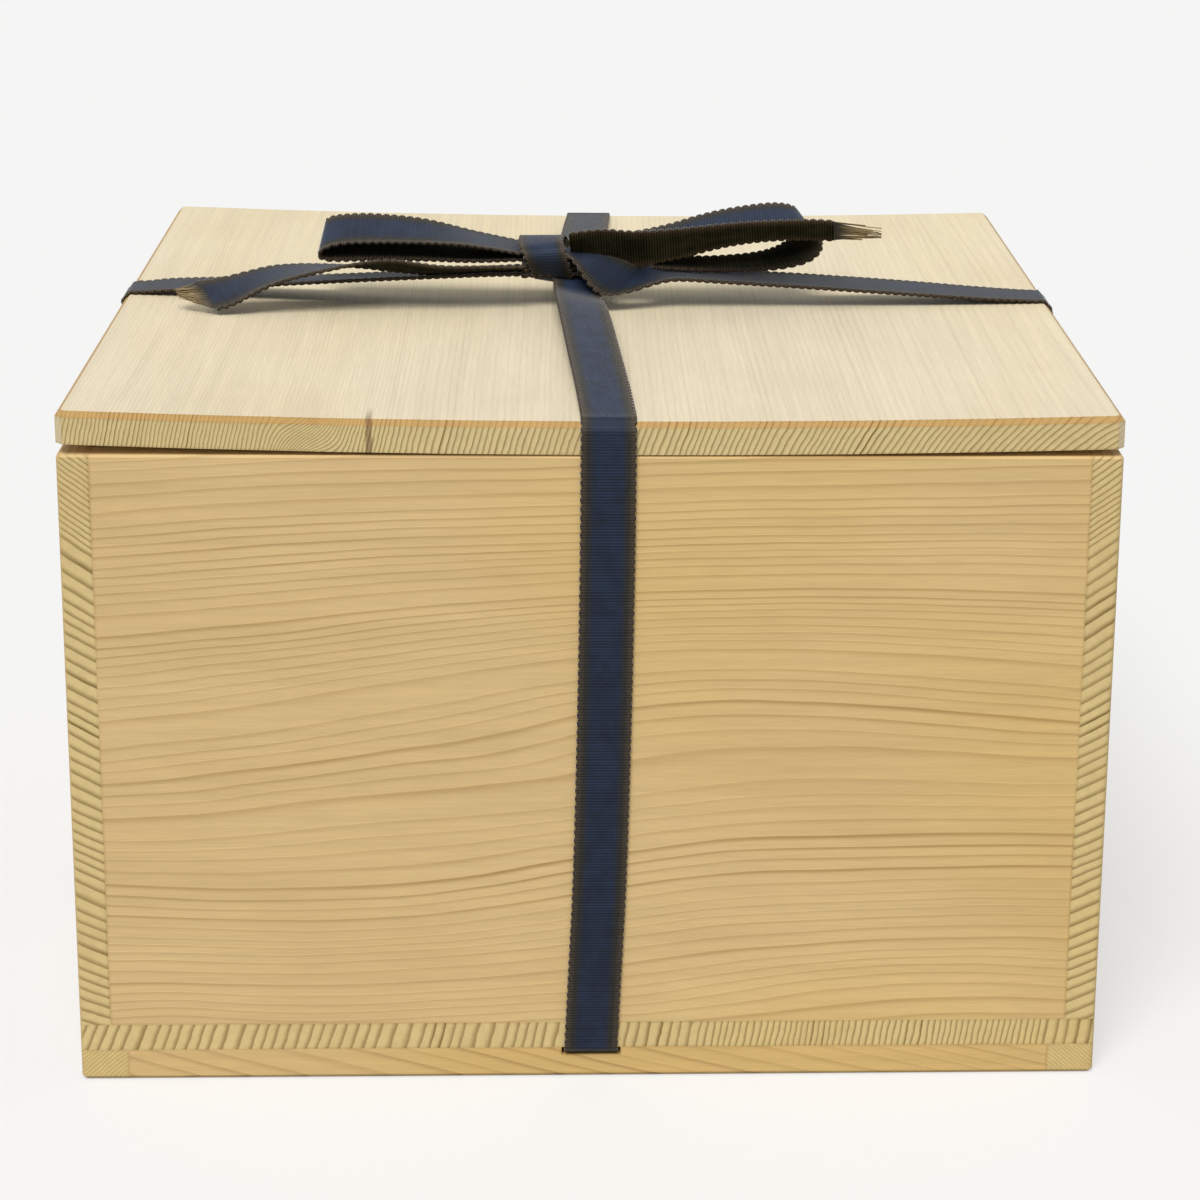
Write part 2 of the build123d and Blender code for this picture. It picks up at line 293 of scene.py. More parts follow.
class Nodes:
    """Builds the node tree of one material. Where a call takes a number, a socket does too."""

    def __init__(self, name):
        self.material = bpy.data.materials.new(name)
        self.material.use_nodes = True
        self.tree = self.material.node_tree
        self.shader = self.tree.nodes["Principled BSDF"]

    def add(self, kind, inputs=None, **settings):
        """A new node of this kind, with its inputs and its settings."""
        made = self.tree.nodes.new("ShaderNode" + kind)
        for key, value in settings.items():
            setattr(made, key, value)
        for key, value in (inputs or {}).items():
            self.feed(made.inputs[key], value)
        return made

    def feed(self, socket, value):
        """Links a socket to another one, or sets its value."""
        if isinstance(value, bpy.types.NodeSocket):
            self.tree.links.new(value, socket)
        else:
            socket.default_value = value

    def math(self, operation, a, b=0.0, c=0.0):
        """The result of one operation."""
        return self.add("Math", {0: a, 1: b, 2: c}, operation=operation).outputs[0]

    def vector(self, x, y, z):
        """Three numbers as one place."""
        return self.add("CombineXYZ", {0: x, 1: y, 2: z}).outputs[0]

    def noise(self, vector, detail=2.0, roughness=0.5):
        """A noise node whose cells are one unit across."""
        made = self.add("TexNoise", {"Vector": vector, "Scale": 1.0, "Detail": detail})
        made.inputs["Roughness"].default_value = roughness
        return made

    def fit(self, value, low, high, to_low=0.0, to_high=1.0, smooth=True):
        """A value brought from one range to another and kept inside it."""
        made = self.add(
            "MapRange",
            {"Value": value, 1: low, 2: high, 3: to_low, 4: to_high},
            interpolation_type="SMOOTHSTEP" if smooth else "LINEAR",
        )
        return made.outputs[0]

    def blend(self, share, a, b, mode="MIX"):
        """Two colours mixed. A Mix node takes colours at its inputs 6 and 7."""
        made = self.add("Mix", data_type="RGBA", blend_type=mode)
        self.feed(made.inputs[0], share)
        self.feed(made.inputs[6], a)
        self.feed(made.inputs[7], b)
        return made.outputs[2]

    def tone(self, base, shade):
        """A colour made lighter or darker by a number."""
        grey = self.add("CombineColor", {0: shade, 1: shade, 2: shade}).outputs[0]
        return self.blend(1.0, base, grey, "MULTIPLY")

    def bump(self, height, distance):
        """Relief on the surface, distance deep in metres where height goes from 0 to 1."""
        made = self.add("Bump", {"Height": height, "Distance": distance, "Strength": 1.0})
        self.feed(self.shader.inputs["Normal"], made.outputs[0])


def colour(red, green, blue):
    """A colour as it shows on a screen, from 0 to 255, made linear."""
    shares = [c / 255 for c in (red, green, blue)]
    linear = [c / 12.92 if c <= 0.04045 else ((c + 0.055) / 1.055) ** 2.4 for c in shares]
    return (*linear, 1)


class Board(Nodes):
    """The nodes of softwood whose grain runs along one axis. p and q are the two axes across it.
    All three are in millimetres. end is 1 on end grain, and slant is 1 on a bevel round the top.
    fibre, streaks and blotch are noises, from fine to coarse."""

    def __init__(self, name, grain, seed):
        super().__init__(name)
        self.seed = seed
        coordinates = self.add("TexCoord").outputs
        self.place = self.add("SeparateXYZ", {0: coordinates["Object"]}).outputs
        normal = self.add("SeparateXYZ", {0: coordinates["Normal"]}).outputs
        order = {"x": (0, 1, 2), "y": (1, 0, 2), "z": (2, 0, 1)}[grain]
        self.along, self.p, self.q = [self.math("MULTIPLY", self.place[i], 1 / MM) for i in order]
        self.end = self.fit(self.math("ABSOLUTE", normal[order[0]]), 0.55, 0.9)
        level = self.math("ABSOLUTE", normal[2])
        not_flat = self.fit(level, 0.85, 0.97, 1.0, 0.0)
        self.slant = self.math("MULTIPLY", self.fit(level, 0.3, 0.5), not_flat)
        self.fibre = self.streaky(10, 0.45)
        self.streaks = self.streaky(90, 2.2, 3.0)
        self.blotch = self.streaky(55, 26, 9.0)

    def stretched(self, long, wide, shift=0.0):
        """The place, with each noise cell this long along the grain and this wide across it."""
        return self.vector(
            self.math("MULTIPLY_ADD", self.along, 1 / long, shift),
            self.math("MULTIPLY_ADD", self.p, 1 / wide, self.seed),
            self.math("MULTIPLY_ADD", self.q, 1 / wide, self.seed * 0.37),
        )

    def streaky(self, long, wide, shift=0.0, detail=2.0):
        """Noise in cells of this length along the grain and this width across it."""
        return self.noise(self.stretched(long, wide, shift), detail).outputs["Fac"]

    def bell(self, *distances):
        """1 where every distance is 0, fading smoothly to 0 away from there."""
        total = 0.0
        for distance in distances:
            total = self.math("MULTIPLY_ADD", distance, distance, total)
        return self.math("POWER", math.e, self.math("MULTIPLY", total, -1.0))

    def tinted(self, share, base, tint):
        """A colour that is multiplied by a tint over this share of it."""
        return self.blend(share, base, self.blend(1.0, base, tint, "MULTIPLY"))


def from_pith(n, pith, sway, slope, hills, swirl):
    """How far a place is from the pith, with all that bends the rings round it."""
    wide_sway = n.noise(n.stretched(170, 75), 1.0).outputs["Color"]
    sway_p, sway_q = n.add("SeparateColor", {0: wide_sway}).outputs[:2]
    away_p = n.math("MULTIPLY_ADD", sway_p, sway, n.math("SUBTRACT", n.p, pith[0] + sway / 2))
    away_q = n.math("MULTIPLY_ADD", sway_q, sway, n.math("SUBTRACT", n.q, pith[1] + sway / 2))
    away_q = n.math("MULTIPLY_ADD", n.along, slope, away_q)
    away_q = n.math("MULTIPLY_ADD", n.streaky(45, 14, 5.0, 1.0), sway * fine_sway_share, away_q)
    away_p = n.math("MULTIPLY_ADD", n.streaky(60, 4.0, 7.0), ring_ripple, away_p)
    for place, height, long, tall, lift in hills:
        far = n.math("MULTIPLY_ADD", n.along, 1 / long, -place / long)
        high = n.math("MULTIPLY_ADD", n.q, 1 / tall, -height / tall)
        away_q = n.math("MULTIPLY_ADD", n.bell(far, high), -lift, away_q)
    if swirl:
        place, half, height, start, end, lean = swirl
        off = n.math("MULTIPLY_ADD", n.p, 1 / half, -place / half)
        near = n.math("MULTIPLY", n.bell(off), n.fit(n.along, start, end, 1.0, 0.0))
        leaning = n.math("MULTIPLY", near, n.math("SUBTRACT", n.q, height))
        away_p = n.math("MULTIPLY_ADD", leaning, -lean, away_p)
    squared = n.math("MULTIPLY_ADD", away_p, away_p, n.math("MULTIPLY", away_q, away_q))
    return n.math("SQRT", squared)


def ring_count(n, reach, spacing, vary, extra):
    """How many rings lie between the pith and a place at this reach from it."""
    years = n.noise(n.vector(n.math("MULTIPLY", reach, 1 / 22), n.seed, n.seed), 1.0).outputs["Fac"]
    rings = n.math("MULTIPLY_ADD", years, vary, n.math("MULTIPLY", reach, 1 / spacing))
    if extra:
        first, last, count = extra
        rings = n.math("ADD", rings, n.fit(reach, first, last, 0.0, count, False))
    return rings


def late_wood(n, rings):
    """Each ring's dark line, from 0 to 1, which grows slowly and ends at once."""
    part = n.math("FRACT", rings)
    sharpness = n.fit(n.end, 0, 1, 3.0, 1.5, False)
    growing = n.math("POWER", n.fit(part, 0.35, 0.9), sharpness)
    return n.math("MULTIPLY", growing, n.fit(part, 0.9, 1.0, 1.0, 0.0))


def ring_strength(n, reach, rings, line, end_line):
    """How dark the rings are at a place. They differ from year to year and fade here and there."""
    whole = n.math("FLOOR", rings)
    year = n.add("TexWhiteNoise", {"W": whole}, noise_dimensions="1D").outputs["Value"]
    zone = n.noise(n.vector(n.math("MULTIPLY", reach, 1 / 13), n.seed, 4.0), 1.0).outputs["Fac"]
    fade = n.fit(n.streaky(120, 24), 0.3, 0.7, 0.6, 1.1)
    strength = n.math("MULTIPLY", n.fit(year, 0, 1, 0.3, 1.0, False), fade)
    strength = n.math("MULTIPLY", strength, n.fit(zone, 0.35, 0.6, 0.35, 1.2))
    strength = n.math("MAXIMUM", strength, n.math("MULTIPLY", n.end, 0.7))
    weight = n.fit(n.math("MAXIMUM", n.end, n.slant), 0, 1, line, end_line, False)
    return n.math("MULTIPLY", strength, weight)


def wood_colour(n, dark, early, late, warm_tint):
    """The wood's colour between its early and its late wood, with blotches, a slow drift of hue
    and fine streaks."""
    plain = n.blend(dark, early, n.blend(n.end, late, end_late))
    blotched = n.blend(n.fit(n.blotch, 0.35, 0.75, 0.0, 0.22), plain, n.blend(0.45, early, late))
    drift = n.math("MULTIPLY_ADD", n.along, hue_drift, n.streaky(150, 90, 2.0, 1.0))
    hue = n.blend(n.fit(drift, 0.35, 0.65), cool_tint, warm_tint)
    fine = n.fit(n.fibre, 0.3, 0.7, 0.95, 1.03, False)
    shade = n.math("MULTIPLY", fine, n.fit(n.streaks, 0.3, 0.7, 0.96, 1.03))
    return n.tone(n.blend(1.0, blotched, hue, "MULTIPLY"), shade)


def stained(n, base, stain):
    """A colour with a dark streak that starts at the front edge."""
    place, half, front, length = stain
    off = n.math("ABSOLUTE", n.math("MULTIPLY_ADD", n.place[0], 1 / (half * MM), -place / half))
    near = n.fit(n.place[1], (front + length) * MM, front * MM, 0.0, 1.0)
    inside = n.fit(n.math("ADD", off, n.streaks), 1.0, 1.7, 1.0, 0.0)
    return n.tinted(n.math("MULTIPLY", inside, near), base, stain_tint)


def edge_shaded(n, base):
    """A colour that is darker in patches along the rounded edges: painted shade where the eased
    edges turn from the light.
    """
    rounded = n.add("Bevel", {"Radius": edge_shade_radius * MM}, samples=4).outputs[0]
    flat = n.add("NewGeometry").outputs["Normal"]
    match = n.add("VectorMath", {0: rounded, 1: flat}, operation="DOT_PRODUCT").outputs["Value"]
    edge = n.fit(match, 0.82, 0.995, 1.0, 0.0)
    patches = n.fit(n.blotch, 0.35, 0.65, 0.35, 1.0)
    return n.tinted(n.math("MULTIPLY", edge, patches), base, edge_shade_tint)


def wood(
    name, grain, pith, spacing, early, late, seed, sway, vary, slope=0.0, line=0.65, end_line=1.0,
    end_tint=(1.01, 1.07, 1.04, 1), warm_tint=(1.0, 0.97, 0.86, 1), bevel_tint=None,
    hills=(), extra=None, swirl=None, stain=None,
):
    """Bare softwood, cut from growth rings round a pith that runs along the grain axis. pith is its
    place on the two other axes, in millimetres, spacing is the rings' spacing, sway is how far they
    wander, vary is how unevenly they are spaced and slope is how fast the pith climbs. line and
    end_line are how dark the rings are along the grain and across it. Each of the hills lifts the
    rings round a place: its place along, its height, its half length, its half height and its lift.
    extra adds this many rings between two distances from the pith. swirl leans the rings at one
    place: its place and half width across, its height, where it starts and ends, and its lean.
    stain is a dark streak's place to the right, half width, front end and length."""
    n = Board(name, grain, seed)
    reach = from_pith(n, pith, sway, slope, hills, swirl)
    rings = ring_count(n, reach, spacing, vary, extra)
    band = late_wood(n, rings)
    dark = n.math("MULTIPLY", band, ring_strength(n, reach, rings, line, end_line))
    toned = n.tinted(n.end, wood_colour(n, dark, early, late, warm_tint), end_tint)
    if bevel_tint:
        toned = n.tinted(n.slant, toned, bevel_tint)
    if stain:
        toned = stained(n, toned, stain)
    # The colour gets painted shade in patches along its rounded edges.
    n.feed(n.shader.inputs["Base Color"], edge_shaded(n, toned))
    n.feed(n.shader.inputs["Roughness"], n.fit(n.fibre, 0.2, 0.8, 0.5, 0.68, False))
    n.shader.inputs["Specular IOR Level"].default_value = 0.25
    n.bump(n.math("MULTIPLY_ADD", n.fibre, 0.5, band), wood_relief * MM)
    return n.material


def cloth(name, dark, light, outer, sheen, gloss):
    """One face of the ribbon's woven cloth, with a brown edge on each side. dark and light are the
    colours between which its middle varies, and outer is the colour next to its edges. sheen and
    gloss are the same all over it."""
    n = Nodes(name)
    across = n.add("Attribute", attribute_name="across").outputs["Fac"]
    along = n.add("Attribute", attribute_name="along").outputs["Fac"]
    out = n.math("ABSOLUTE", across)
    spot = n.add("TexCoord").outputs["Object"]

    def grain(scale, detail):
        """Noise with this many cells in a millimetre."""
        place = n.add("VectorMath", {0: spot, "Scale": scale / MM}, operation="SCALE").outputs[0]
        return n.noise(place, detail, 0.6).outputs["Fac"]

    fuzz = grain(2.4, 3.0)
    patch = grain(0.12, 2.0)
    ragged = n.math("ADD", out, n.fit(fuzz, 0.25, 0.75, -0.04, 0.04, False))
    middle = n.blend(n.fit(patch, 0.35, 0.65), dark, light)
    edge = n.blend(n.fit(ragged, 0.45, 0.72), middle, outer)
    edge = n.blend(n.fit(ragged, 0.7, 0.88), edge, ribbon_brown)
    # The colour goes lighter and darker in step with the ribs: painted light and shade of their
    # relief. Each rib's own tone also differs at random.
    turns = n.math("MULTIPLY", along, 1 / rib_pitch)
    rib = n.math("SINE", n.math("MULTIPLY", turns, 2 * math.pi))
    nearest = n.math("ROUND", turns)
    each = n.add("TexWhiteNoise", {"W": nearest}, noise_dimensions="1D").outputs["Value"]
    thread = n.math("SINE", n.math("MULTIPLY", across, warp_rate))
    speckle = n.fit(fuzz, 0.25, 0.75, 0.72, 1.22, False)
    uneven = n.math("MULTIPLY", speckle, n.fit(each, 0, 1, 0.86, 1.14, False))
    shade = n.math("MULTIPLY_ADD", rib, rib_painted_shade, uneven)
    n.feed(n.shader.inputs["Base Color"], n.tone(edge, shade))
    n.shader.inputs["Roughness"].default_value = 0.6
    n.shader.inputs["Sheen Weight"].default_value = sheen
    n.shader.inputs["Sheen Roughness"].default_value = 0.3
    n.shader.inputs["Specular IOR Level"].default_value = gloss
    n.bump(n.math("MULTIPLY_ADD", fuzz, 0.8, n.math("MULTIPLY", thread, 0.25)), cloth_relief * MM)
    return n.material


def threads():
    """The frayed threads at the ribbon's ends, dark at the cloth and going to gold."""
    n = Nodes("ribbon_thread")
    across = n.add("Attribute", attribute_name="across").outputs["Fac"]
    along = n.add("Attribute", attribute_name="along").outputs["Fac"]
    own = n.math("MULTIPLY", across, 37.0)
    pick = n.add("TexWhiteNoise", {"W": own}, noise_dimensions="1D").outputs["Value"]
    tip = n.blend(pick, colour(104, 88, 62), colour(180, 158, 112))
    n.feed(n.shader.inputs["Base Color"], n.blend(n.fit(along, 0.1, 0.8), colour(48, 44, 42), tip))
    n.shader.inputs["Roughness"].default_value = 0.75
    return n.material


warp_rate = 95.0
# How strongly the ribs' painted light and shade mark the cloth's colour.
rib_painted_shade = 0.5
cloth_relief = 0.08
ribbon_brown = colour(68, 58, 46)
ribbon_blue = (colour(23, 33, 52), colour(31, 43, 65))
# The ribbon's back keeps its own olive hue but is made near black, with almost no sheen and no
# gloss: painted shade on the undersides and the insides of the loops.
back_and_shade_colours = (colour(33, 32, 22), colour(47, 45, 33))
ribbon_cloth = cloth("ribbon_cloth", *ribbon_blue, colour(41, 39, 34), 1.0, 0.26)
ribbon_back_and_shade = cloth("ribbon_back_and_shade", *back_and_shade_colours, colour(50, 47, 36), 0.04, 0.0)
ribbon_thread = threads()


def half_side(direction, tilt, share=1.0):
    """Half the ribbon's width along a level direction, raised by the tilt in degrees."""
    angle = math.radians(tilt)
    return (direction * math.cos(angle) + up * math.sin(angle)) * (ribbon_width / 2 * share * MM)


def across_side(width, share):
    """Half the ribbon's width, times a share, along any direction."""
    return Vector(width).normalized() * (ribbon_width / 2 * share * MM)


def follow_lid(piece):
    """Bakes a stretch's place into its own mesh."""
    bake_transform(piece)


def strand(name, outward, along, rows, replaced, face):
    """A stretch from the foot up a wall, over the lid's edge and in to the knot. Each row has its
    distance out, its shift to the side, its height and the tilt of its width."""
    points = [(outward * out + along * shift + up * z) * MM for out, shift, z, tilt in rows]
    sides = [half_side(along, tilt) for out, shift, z, tilt in rows]
    piece = ribbon(name, points, sides, face)[0]
    follow_lid(piece)
    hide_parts(*replaced)


def lid_edge(out, top, shift, tilt=0.0):
    """The rows where a stretch turns over the lid's edge."""
    return [
        (out, shift, top - 5.0, tilt),
        (out, shift, top - 2.6, tilt),
        (out, shift, top - 1.9, tilt),
        (out - 0.45, shift, top - 1.25, tilt),
        (out - 1.8, shift, top + 0.2, tilt),
        (out - 2.3, shift, top + 0.7, tilt),
        (out - 3.2, shift, top + 0.7, tilt),
        (out - 6.3, shift, top + 0.72, tilt),
    ]


wall_out = 140.7
strand("ribbon_tie_front", -to_back, to_right, [
    (wall_out, 0.0, 12, 0),
    (wall_out, 0.8, 30, 0),
    (wall_out, 2.2, 60, 0),
    (wall_out, 3.2, 110, 0),
    (wall_out, 3.7, 150, 0),
    (wall_out, 3.8, 175, 0),
    *lid_edge(wall_out, 187.5, 3.8),
    (112, 2.6, 190.1, 0),
    (80, 0.5, 192.2, 0),
    (50, -1.3, 194.0, -1),
    (32, -2.5, 194.6, -5),
    (21, -3.3, 193.9, -11),
    (13, -3.6, 193.2, -14),
    (7.5, -3.6, 194.2, -10),
    (3, -3.7, 197.2, -4),
], ["ribbon_front", "ribbon_lid_front"], 1)
strand("ribbon_tie_back", to_back, to_right, [
    (wall_out, 0.0, 12, 0),
    (wall_out, 0.3, 60, 0),
    (wall_out, 0.6, 110, 0),
    (wall_out, 0.9, 150, 0),
    (wall_out, 1.0, 175, 0),
    *lid_edge(wall_out, 187.5, 1.0),
    (112, 0.0, 190.2, 0),
    (80, -1.0, 192.8, 0),
    (50, -2.2, 195.4, 0),
    (25, -3.0, 197.3, 0),
    (8, -3.4, 198.0, 0),
], ["ribbon_back", "ribbon_lid_back"], -1)
strand("ribbon_tie_left", -to_right, to_back, [
    (wall_out, 0.0, 12, 0),
    (wall_out, 1.6, 60, 0),
    (wall_out, 3.6, 110, 0),
    (wall_out, 5.4, 160, 0),
    *lid_edge(wall_out, 190.19, 6.0),
    (128, 5.6, 191.7, 1.5),
    (110, 4.8, 192.6, -1),
    (90, 4.0, 193.7, -4),
    (62, 2.8, 195.3, -5),
    (40, 1.8, 196.8, -3),
    (24, 1.2, 197.7, -2),
    (16, 1.0, 197.9, 0),
], ["ribbon_left", "ribbon_lid_left"], -1)


def petal_rows():
    """The right stretch's places near the knot, where it turns up to face the front: each one's
    place, the direction of its width and how much of its width shows."""
    return [
        ((44, 0.3, 196.1), (0.0, 1.0, 0.04), 1.0),
        ((36, 0.0, 196.5), (0.0, 1.0, 0.02), 1.0),
        ((30, -0.2, 196.8), (0.0, 1.0, 0.0), 1.0),
        ((24, -0.6, 197.0), (0.0, 1.0, 0.02), 1.0),
        ((19.5, -2.4, 197.3), (0.12, 0.95, 0.22), 0.98),
        ((15, -5.4, 197.1), (0.42, 0.72, 0.5), 0.98),
        ((9.6, -8.8, 196.7), (0.70, 0.40, 0.60), 1.05),
        ((5.0, -9.6, 199.6), (0.74, 0.36, 0.56), 0.98),
        ((0.8, -9.0, 203.0), (0.8, 0.42, 0.4), 0.74),
        ((-3.0, -7.4, 205.2), (0.82, 0.5, 0.2), 0.55),
        ((-7.5, -5.0, 205.9), (0.82, 0.55, 0.1), 0.5),
    ]


def right_tie():
    """The right stretch, with the slanting fold in front of the knot at its end."""
    rows = [
        (wall_out, 0.0, 12, 0),
        (wall_out, 0.6, 60, 0),
        (wall_out, 1.2, 110, 0),
        (wall_out, 1.8, 160, 0),
        *lid_edge(wall_out, 189.41, 2.0),
        (120, 1.8, 190.9, 1.5),
        (100, 1.4, 192.5, 3.0),
        (80, 1.0, 193.9, 3.5),
        (60, 0.6, 195.2, 3.0),
    ]
    points = [point(out, shift, z) for out, shift, z, tilt in rows]
    sides = [half_side(to_back, tilt) for out, shift, z, tilt in rows]
    for place, width, share in petal_rows():
        points.append(point(*place))
        sides.append(across_side(width, share))
    piece = ribbon("ribbon_tie_right", points, sides)[0]
    follow_lid(piece)
    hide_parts("ribbon_right", "ribbon_lid_right", "knot_fold")


right_tie()


def under_run(name, outward, along, height, replaced, face):
    """A stretch under the bottom board, turned up at both ends outside the box."""
    turned = [
        (wall_out, 12.0),
        (wall_out, height + 1.6),
        (wall_out, height + 0.6),
        (wall_out - 0.6, height),
        (wall_out - 1.6, height),
        (120, height),
    ]
    rows = turned + [(-out, z) for out, z in turned[::-1]]
    points = [(outward * out + up * z) * MM for out, z in rows]
    piece = ribbon(name, points, [half_side(along, 0)] * len(points), face)[0]
    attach(piece, "box")
    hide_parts(replaced)


under_run("ribbon_under_depth", to_back, to_right, 8.3, "ribbon_under_front_back", 1)
under_run("ribbon_under_width", to_right, to_back, 7.35, "ribbon_under_left_right", -1)

# Bow, in millimetres
lid_top = 187.5
band_bite = 0.3


def bow_band(
    name, side, root_x, start, rows, lean, heading, replaced,
    end=None, gather=0.0, bend=0.0,
):
    """A loop or a tail of the bow, to one side, 1 or -1. It starts on the knot, at start's distance
    back and height above the lid's top, in a plane that leans back by lean and heads to the front
    by heading, in degrees. Each row has its distance out, its rise, the tilt of its width, and how
    far its front edge is out past its back edge, as a share of the width. end, gather and bend are
    for its threads."""
    lean, turn = math.radians(lean), math.radians(heading)
    back = Vector((side * math.sin(turn), math.cos(turn), 0))
    outward = Vector((side * math.cos(turn), -math.sin(turn), 0))
    rise = up * math.cos(lean) - back * math.sin(lean)
    origin = point(root_x - side * band_bite, start[0], lid_top + start[1])
    points = []
    sides = []
    for out, height, tilt, skew in rows:
        points.append(origin + (outward * out + rise * height) * MM)
        sides.append(half_side(back, tilt) - outward * (skew * ribbon_width / 2 * MM))
    piece, line = ribbon(name, points, sides, -side, end, gather, bend)
    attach(piece, "lid")
    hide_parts(replaced)


bow_band("bow_left_loop", -1, -20.5, (3.0, 19.5), [
    (0, -3.4, 4, 0),
    (14, -0.3, 5, 0),
    (24, 1.7, 14, 0),
    (33, 2.9, 21, 0),
    (46, 3.5, 26, 0),
    (54, 3.2, 26, 0),
    (59.0, 1.9, 30, 0.08),
    (60.6, -0.1, 32, 0.12),
    (59.6, -2.1, 31, 0.1),
    (56, -2.8, 27, 0),
    (50, -3.0, 23, 0),
    (41, -3.4, 18, 0),
    (27, -4.8, 8, 0),
    (14, -6.2, 3, 0),
    (0, -5.2, 4, 0),
], 22, 0, "bow_loop_left")
bow_band("bow_right_loop", 1, 7, (5.0, 19.5), [
    (0, -2.8, 14, 0),
    (14, -1.2, 20, 0),
    (30, 4.2, 25, 0),
    (45, 7.0, 25, 0),
    (53, 7.5, 24, 0.1),
    (58.8, 6.2, 22, 0.3),
    (60.4, 3.2, 19, 0.45),
    (60.0, -0.6, 15, 0.5),
    (57.4, -4.2, 14, 0.42),
    (52, -6.5, 12, 0.2),
    (45, -7.9, 9, 0),
    (36, -8.6, 6, 0),
    (26, -8.8, 4, 0),
    (16, -8.0, 5, 0),
    (7, -7.0, 6, 0),
    (0, -6.2, 8, 0),
], 16, 0, "bow_loop_right")
bow_band("bow_left_tail", -1, -20.5, (-4.0, 11.6), [
    (0, 0.2, -16, 0),
    (13, 0.3, -18, 0),
    (25, 0.3, -20, 0),
    (33, 1.4, -22, 0),
    (40, 2.5, -24, 0),
    (47, 2.9, -18, 0),
    (54, 2.7, -11, 0),
    (63, 2.1, -2, 0),
    (70.5, 1.3, 5, 0),
    (76, 0.2, 10, 0),
    (81.6, -1.6, 13, -0.1),
    (88, -3.9, 18, -0.3),
    (95, -5.4, 24, -0.35),
    (103, -5.0, 22, -0.35),
], 0, 9.3, "bow_tail_left", end=9.0, gather=0.85, bend=0.15)
bow_band("bow_right_tail", 1, -5.5, (-7.7, 19.9), [
    (0, -1.2, -50, 0),
    (9, 0.0, -58, 0),
    (18, -0.9, -56, 0),
    (31, 1.0, -49, 0),
    (48, 5.0, -36, 0),
    (64, 6.8, -33, 0),
    (79, 7.1, -34, 0),
    (93, 5.7, -30, 0),
], -34, 6, "bow_tail_right", end=14.0, gather=0.45, bend=-0.1)


def knot_wrap():
    """The ribbon's turn round the knot, which slants a little to the right on its way down. Each
    row has its place, the direction of its width and how much of its width it has."""
    rows = [
        ((-10.2, 4.0, 195.4), (1.0, 0.0, -0.1), 0.76),
        ((-10.6, 0.0, 194.9), (1.0, 0.0, -0.16), 0.78),
        ((-11.0, -3.8, 195.8), (1.0, 0.0, -0.16), 0.8),
        ((-11.6, -7.2, 199.4), (1.0, 0.0, -0.06), 0.84),
        ((-12.8, -9.4, 203.4), (1.0, 0.0, 0.04), 0.88),
        ((-13.9, -8.8, 206.0), (1.0, 0.0, 0.08), 0.9),
        ((-14.5, -5.6, 207.0), (1.0, 0.0, 0.1), 0.9),
        ((-14.7, -1.6, 207.2), (1.0, 0.0, 0.08), 0.91),
        ((-14.5, 3.4, 207.3), (1.0, 0.0, 0.04), 0.93),
        ((-14.0, 8.6, 206.9), (1.0, 0.0, 0.0), 0.97),
        ((-13.2, 11.3, 204.2), (1.0, 0.0, 0.0), 1.0),
        ((-13.0, 11.3, 199.6), (1.0, 0.0, 0.0), 0.97),
        ((-13.0, 9.8, 196.4), (1.0, 0.0, 0.0), 0.92),
        ((-13.0, 5.0, 195.6), (1.0, 0.0, 0.0), 0.86),
    ]
    points = [point(*place) for place, width, share in rows]
    sides = [across_side(width, share) for place, width, share in rows]
    piece = ribbon("knot_turn", points, sides)[0]
    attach(piece, "lid")
    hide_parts("knot_wrap")


knot_wrap()


def knot_inside():
    """The folded ribbon inside the knot: stacked layers that fill the space the turn leaves. Each
    has its two ends, its height, how much of its width it has and its tilt."""
    lower_layers = 4
    shares = (0.0, 0.25, 0.5, 0.75, 1.0)
    bow_up = (0.0, 0.5, 0.7, 0.4, -0.2)
    layers = [
        ((-20.6, 7.4), 197.6, 1.0, 2.0),
        ((-20.2, 7.2), 199.2, 0.96, 1.0),
        ((-20.4, 6.8), 200.8, 0.94, 0.0),
        ((-20.0, 6.4), 202.3, 0.92, -1.0),
        ((-20.3, -3.5), 204.0, 0.92, -2.0),
        ((-20.0, -5.0), 205.6, 0.88, -2.0),
    ]
    for i, ((left, right), z, share, tilt) in enumerate(layers):
        places = [left + (right - left) * along for along in shares]
        points = [point(x, 1.0, z + rise) for x, rise in zip(places, bow_up)]
        sides = [half_side(to_back, tilt, share)] * len(points)
        # The two top layers turn the ribbon's near-black back up: painted shade in the gap beside
        # the wrap.
        face = -1 if i < lower_layers else 1
        piece = ribbon(f"knot_layer_{i + 1}", points, sides, face)[0]
        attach(piece, "lid")
        if i == 0:
            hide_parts("knot_core")


knot_inside()

# Wood
board_early = colour(228, 197, 139)
board_late = colour(161, 120, 61)
foot_early = colour(226, 193, 131)
foot_late = colour(160, 120, 72)
lid_early = colour(235, 221, 189)
lid_late = colour(186, 152, 104)
end_late = colour(128, 99, 46)
cool_tint = (1.0, 1.0, 1.03, 1)
stain_tint = (0.5, 0.44, 0.42, 1)
# The tint and the radius of the painted shade along the rounded edges.
edge_shade_tint = (0.74, 0.68, 0.6, 1)
edge_shade_radius = 1.3
wood_relief = 0.05
hue_drift = 0.0012
fine_sway_share = 0.18
ring_ripple = 0.8

